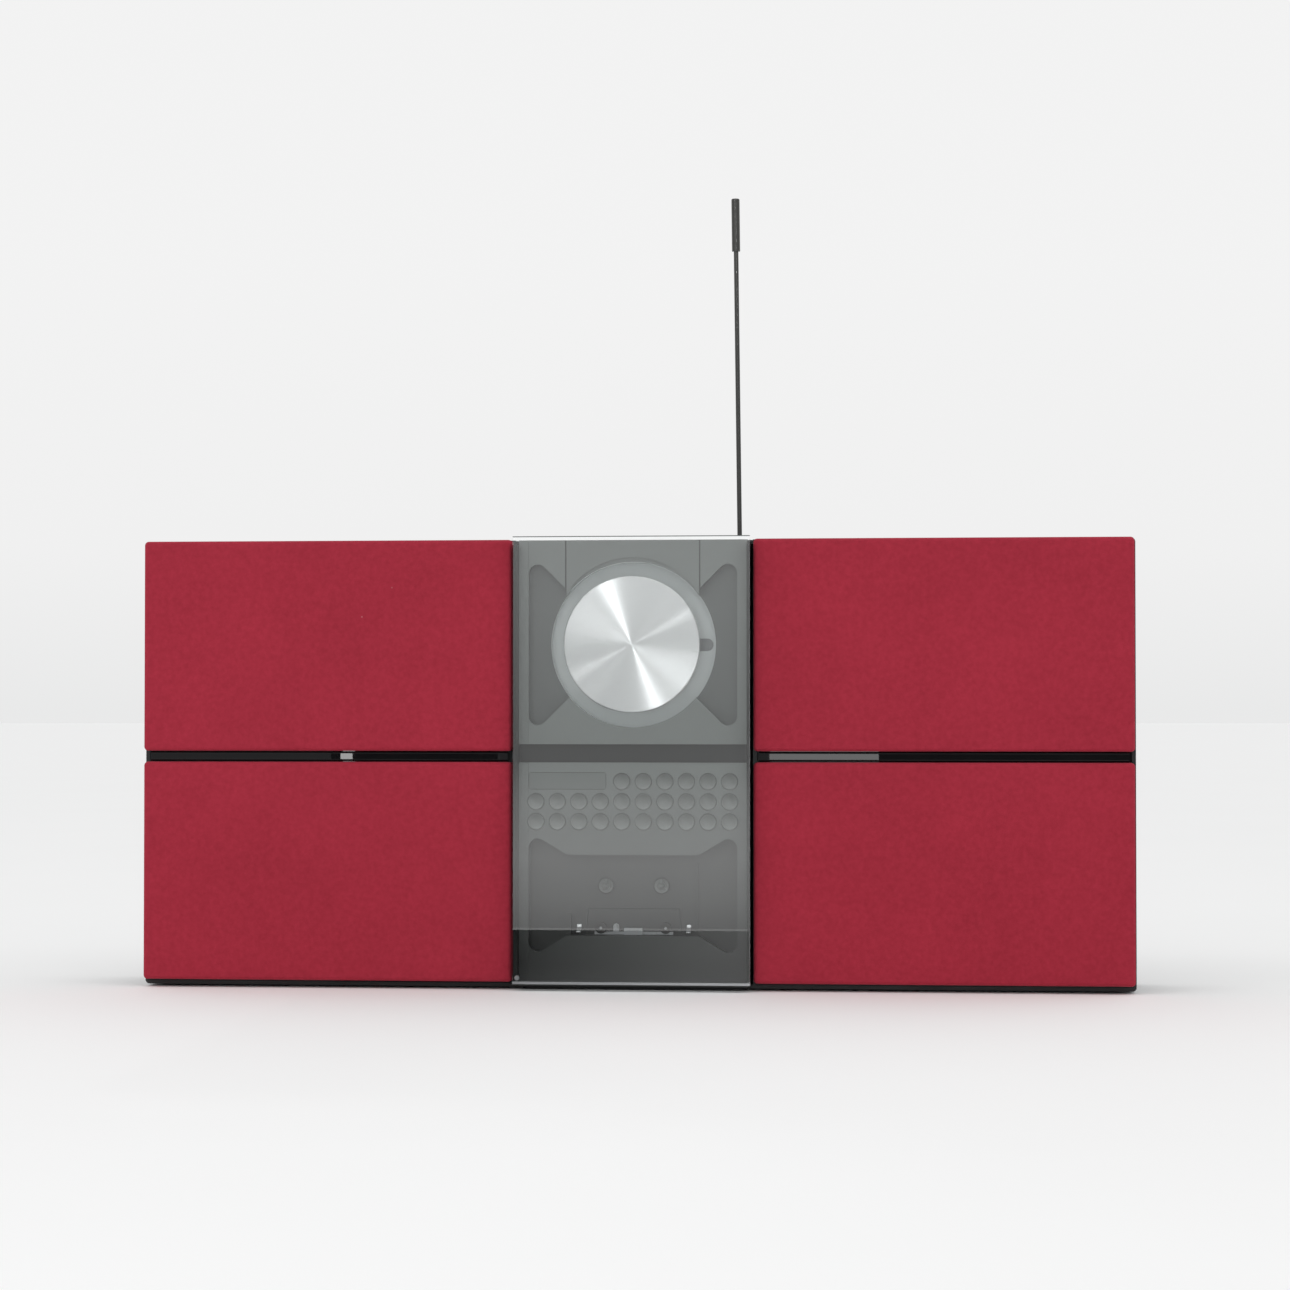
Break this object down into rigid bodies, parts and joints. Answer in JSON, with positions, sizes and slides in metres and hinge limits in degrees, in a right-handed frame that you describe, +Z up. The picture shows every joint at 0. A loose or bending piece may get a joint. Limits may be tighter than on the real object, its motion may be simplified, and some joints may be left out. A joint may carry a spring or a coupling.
{
  "type": "boombox",
  "caption": "Slim wall or table music system with four cloth speaker covers round a smoked-glass front over a CD well, key panel and cassette bay, with a rod aerial.",
  "frame": {"origin": "on the surface it stands on, at the middle of its footprint (bounding box bottom centre)", "axes": "+X to the listener's right along the width, -Y out of the glass front, +Z up"},
  "size_m": [0.757, 0.11, 0.6116],
  "materials": {
    "cabinet_black": "fine satin texture",
    "baffle_gloss_black": "high gloss",
    "frame_black": "matt",
    "speaker_cloth": "fine plain-woven speaker cloth, burgundy",
    "driver_black": "paper cone and pressed basket, matt",
    "smoked_glass": "polished, smoked",
    "satin_aluminium": "satin anodised",
    "spun_aluminium": "spun, circular brushing",
    "console_grey": "satin grey",
    "key_grey": "satin grey",
    "display_window": "polished dark window",
    "circuit_board": "lacquered",
    "mechanism_black": "matt moulded",
    "zinc_steel": "zinc plated",
    "spring_chrome": "bright",
    "roller_rubber": "matt",
    "core_iron": "lacquered laminations",
    "aerial_dark": "dark satin"
  },
  "bodies": {
    "cabinet": {"rear_shell": "cabinet_black", "left_baffle": "baffle_gloss_black", "right_baffle": "baffle_gloss_black", "screws": "zinc_steel", "speaker_drivers": "driver_black", "console_plate": "console_grey", "cd_cover_plate": "console_grey", "display_window": "display_window", "main_board": "circuit_board", "cd_mechanism": "zinc_steel", "tape_deck": "console_grey", "cassette_springs": "spring_chrome", "transformer": "core_iron", "power_inlet": "mechanism_black"},
    "glass_door": {"glass_panel": "smoked_glass", "glass_carrier": "satin_aluminium"},
    "aerial": {"aerial_rod": "aerial_dark", "aerial_tip": "aerial_dark"},
    "cd_turntable": {"cd_hub": "mechanism_black", "cd_clamp": "spun_aluminium"},
    "cd_pickup": {"laser_pickup": "mechanism_black"},
    "tape_heads": {"head_carriage": "zinc_steel"},
    "supply_reel": {"supply_spindle": "key_grey"},
    "takeup_reel": {"takeup_spindle": "key_grey"},
    "left_roller": {"left_pinch_roller": "roller_rubber"},
    "right_roller": {"right_pinch_roller": "roller_rubber"},
    "upper_left_cover": {"upper_left_cover_frame": "frame_black", "upper_left_cover_cloth": "speaker_cloth"},
    "upper_right_cover": {"upper_right_cover_frame": "frame_black", "upper_right_cover_cloth": "speaker_cloth"},
    "lower_left_cover": {"lower_left_cover_frame": "frame_black", "lower_left_cover_cloth": "speaker_cloth"},
    "lower_right_cover": {"lower_right_cover_frame": "frame_black", "lower_right_cover_cloth": "speaker_cloth"},
    "key_top_5_body": {"key_top_5": "key_grey"},
    "key_top_6_body": {"key_top_6": "key_grey"},
    "key_top_7_body": {"key_top_7": "key_grey"},
    "key_top_8_body": {"key_top_8": "key_grey"},
    "key_top_9_body": {"key_top_9": "key_grey"},
    "key_top_10_body": {"key_top_10": "key_grey"},
    "key_mid_1_body": {"key_mid_1": "key_grey"},
    "key_mid_2_body": {"key_mid_2": "key_grey"},
    "key_mid_3_body": {"key_mid_3": "key_grey"},
    "key_mid_4_body": {"key_mid_4": "key_grey"},
    "key_mid_5_body": {"key_mid_5": "key_grey"},
    "key_mid_6_body": {"key_mid_6": "key_grey"},
    "key_mid_7_body": {"key_mid_7": "key_grey"},
    "key_mid_8_body": {"key_mid_8": "key_grey"},
    "key_mid_9_body": {"key_mid_9": "key_grey"},
    "key_mid_10_body": {"key_mid_10": "key_grey"},
    "key_low_1_body": {"key_low_1": "key_grey"},
    "key_low_2_body": {"key_low_2": "key_grey"},
    "key_low_3_body": {"key_low_3": "key_grey"},
    "key_low_4_body": {"key_low_4": "key_grey"},
    "key_low_5_body": {"key_low_5": "key_grey"},
    "key_low_6_body": {"key_low_6": "key_grey"},
    "key_low_7_body": {"key_low_7": "key_grey"},
    "key_low_8_body": {"key_low_8": "key_grey"},
    "key_low_9_body": {"key_low_9": "key_grey"},
    "key_low_10_body": {"key_low_10": "key_grey"}
  },
  "joints": [
    {"name": "glass_lift", "type": "slide", "parent": "cabinet", "child": "glass_door", "axis": [0, 0, 1], "range_m": [0, 0.215]},
    {"name": "aerial_push", "type": "slide", "parent": "cabinet", "child": "aerial", "axis": [0.012, 0, -0.9999], "range_m": [0, 0.225]},
    {"name": "cd_spin", "type": "hinge", "parent": "cabinet", "child": "cd_turntable", "pos_m": [0, -0.033, 0.262], "axis": [0, 1, 0], "continuous": true},
    {"name": "pickup_slide", "type": "slide", "parent": "cabinet", "child": "cd_pickup", "axis": [1, 0, 0], "range_m": [0, 0.03]},
    {"name": "head_lift", "type": "slide", "parent": "cabinet", "child": "tape_heads", "axis": [0, 0, 1], "range_m": [0, 0.004]},
    {"name": "supply_spin", "type": "hinge", "parent": "cabinet", "child": "supply_reel", "pos_m": [-0.02125, -0.03, 0.0787], "axis": [0, 1, 0], "continuous": true},
    {"name": "takeup_spin", "type": "hinge", "parent": "cabinet", "child": "takeup_reel", "pos_m": [0.02125, -0.03, 0.0787], "axis": [0, 1, 0], "continuous": true},
    {"name": "left_roller_spin", "type": "hinge", "parent": "tape_heads", "child": "left_roller", "pos_m": [-0.0247, -0.0337, 0.0468], "axis": [0, 1, 0], "continuous": true},
    {"name": "right_roller_spin", "type": "hinge", "parent": "tape_heads", "child": "right_roller", "pos_m": [0.0247, -0.0337, 0.0468], "axis": [0, 1, 0], "continuous": true},
    {"name": "upper_left_cover_pull", "type": "slide", "parent": "cabinet", "child": "upper_left_cover", "axis": [0, -1, 0], "range_m": [0, 0.03]},
    {"name": "upper_right_cover_pull", "type": "slide", "parent": "cabinet", "child": "upper_right_cover", "axis": [0, -1, 0], "range_m": [0, 0.03]},
    {"name": "lower_left_cover_pull", "type": "slide", "parent": "cabinet", "child": "lower_left_cover", "axis": [0, -1, 0], "range_m": [0, 0.03]},
    {"name": "lower_right_cover_pull", "type": "slide", "parent": "cabinet", "child": "lower_right_cover", "axis": [0, -1, 0], "range_m": [0, 0.03]},
    {"name": "key_top_5_press", "type": "slide", "parent": "cabinet", "child": "key_top_5_body", "axis": [0, 1, 0], "range_m": [0, 0.0008], "stiffness_N_per_m": 600, "springref_m": -0.0006},
    {"name": "key_top_6_press", "type": "slide", "parent": "cabinet", "child": "key_top_6_body", "axis": [0, 1, 0], "range_m": [0, 0.0008], "stiffness_N_per_m": 600, "springref_m": -0.0006},
    {"name": "key_top_7_press", "type": "slide", "parent": "cabinet", "child": "key_top_7_body", "axis": [0, 1, 0], "range_m": [0, 0.0008], "stiffness_N_per_m": 600, "springref_m": -0.0006},
    {"name": "key_top_8_press", "type": "slide", "parent": "cabinet", "child": "key_top_8_body", "axis": [0, 1, 0], "range_m": [0, 0.0008], "stiffness_N_per_m": 600, "springref_m": -0.0006},
    {"name": "key_top_9_press", "type": "slide", "parent": "cabinet", "child": "key_top_9_body", "axis": [0, 1, 0], "range_m": [0, 0.0008], "stiffness_N_per_m": 600, "springref_m": -0.0006},
    {"name": "key_top_10_press", "type": "slide", "parent": "cabinet", "child": "key_top_10_body", "axis": [0, 1, 0], "range_m": [0, 0.0008], "stiffness_N_per_m": 600, "springref_m": -0.0006},
    {"name": "key_mid_1_press", "type": "slide", "parent": "cabinet", "child": "key_mid_1_body", "axis": [0, 1, 0], "range_m": [0, 0.0008], "stiffness_N_per_m": 600, "springref_m": -0.0006},
    {"name": "key_mid_2_press", "type": "slide", "parent": "cabinet", "child": "key_mid_2_body", "axis": [0, 1, 0], "range_m": [0, 0.0008], "stiffness_N_per_m": 600, "springref_m": -0.0006},
    {"name": "key_mid_3_press", "type": "slide", "parent": "cabinet", "child": "key_mid_3_body", "axis": [0, 1, 0], "range_m": [0, 0.0008], "stiffness_N_per_m": 600, "springref_m": -0.0006},
    {"name": "key_mid_4_press", "type": "slide", "parent": "cabinet", "child": "key_mid_4_body", "axis": [0, 1, 0], "range_m": [0, 0.0008], "stiffness_N_per_m": 600, "springref_m": -0.0006},
    {"name": "key_mid_5_press", "type": "slide", "parent": "cabinet", "child": "key_mid_5_body", "axis": [0, 1, 0], "range_m": [0, 0.0008], "stiffness_N_per_m": 600, "springref_m": -0.0006},
    {"name": "key_mid_6_press", "type": "slide", "parent": "cabinet", "child": "key_mid_6_body", "axis": [0, 1, 0], "range_m": [0, 0.0008], "stiffness_N_per_m": 600, "springref_m": -0.0006},
    {"name": "key_mid_7_press", "type": "slide", "parent": "cabinet", "child": "key_mid_7_body", "axis": [0, 1, 0], "range_m": [0, 0.0008], "stiffness_N_per_m": 600, "springref_m": -0.0006},
    {"name": "key_mid_8_press", "type": "slide", "parent": "cabinet", "child": "key_mid_8_body", "axis": [0, 1, 0], "range_m": [0, 0.0008], "stiffness_N_per_m": 600, "springref_m": -0.0006},
    {"name": "key_mid_9_press", "type": "slide", "parent": "cabinet", "child": "key_mid_9_body", "axis": [0, 1, 0], "range_m": [0, 0.0008], "stiffness_N_per_m": 600, "springref_m": -0.0006},
    {"name": "key_mid_10_press", "type": "slide", "parent": "cabinet", "child": "key_mid_10_body", "axis": [0, 1, 0], "range_m": [0, 0.0008], "stiffness_N_per_m": 600, "springref_m": -0.0006},
    {"name": "key_low_1_press", "type": "slide", "parent": "cabinet", "child": "key_low_1_body", "axis": [0, 1, 0], "range_m": [0, 0.0008], "stiffness_N_per_m": 600, "springref_m": -0.0006},
    {"name": "key_low_2_press", "type": "slide", "parent": "cabinet", "child": "key_low_2_body", "axis": [0, 1, 0], "range_m": [0, 0.0008], "stiffness_N_per_m": 600, "springref_m": -0.0006},
    {"name": "key_low_3_press", "type": "slide", "parent": "cabinet", "child": "key_low_3_body", "axis": [0, 1, 0], "range_m": [0, 0.0008], "stiffness_N_per_m": 600, "springref_m": -0.0006},
    {"name": "key_low_4_press", "type": "slide", "parent": "cabinet", "child": "key_low_4_body", "axis": [0, 1, 0], "range_m": [0, 0.0008], "stiffness_N_per_m": 600, "springref_m": -0.0006},
    {"name": "key_low_5_press", "type": "slide", "parent": "cabinet", "child": "key_low_5_body", "axis": [0, 1, 0], "range_m": [0, 0.0008], "stiffness_N_per_m": 600, "springref_m": -0.0006},
    {"name": "key_low_6_press", "type": "slide", "parent": "cabinet", "child": "key_low_6_body", "axis": [0, 1, 0], "range_m": [0, 0.0008], "stiffness_N_per_m": 600, "springref_m": -0.0006},
    {"name": "key_low_7_press", "type": "slide", "parent": "cabinet", "child": "key_low_7_body", "axis": [0, 1, 0], "range_m": [0, 0.0008], "stiffness_N_per_m": 600, "springref_m": -0.0006},
    {"name": "key_low_8_press", "type": "slide", "parent": "cabinet", "child": "key_low_8_body", "axis": [0, 1, 0], "range_m": [0, 0.0008], "stiffness_N_per_m": 600, "springref_m": -0.0006},
    {"name": "key_low_9_press", "type": "slide", "parent": "cabinet", "child": "key_low_9_body", "axis": [0, 1, 0], "range_m": [0, 0.0008], "stiffness_N_per_m": 600, "springref_m": -0.0006},
    {"name": "key_low_10_press", "type": "slide", "parent": "cabinet", "child": "key_low_10_body", "axis": [0, 1, 0], "range_m": [0, 0.0008], "stiffness_N_per_m": 600, "springref_m": -0.0006}
  ]
}
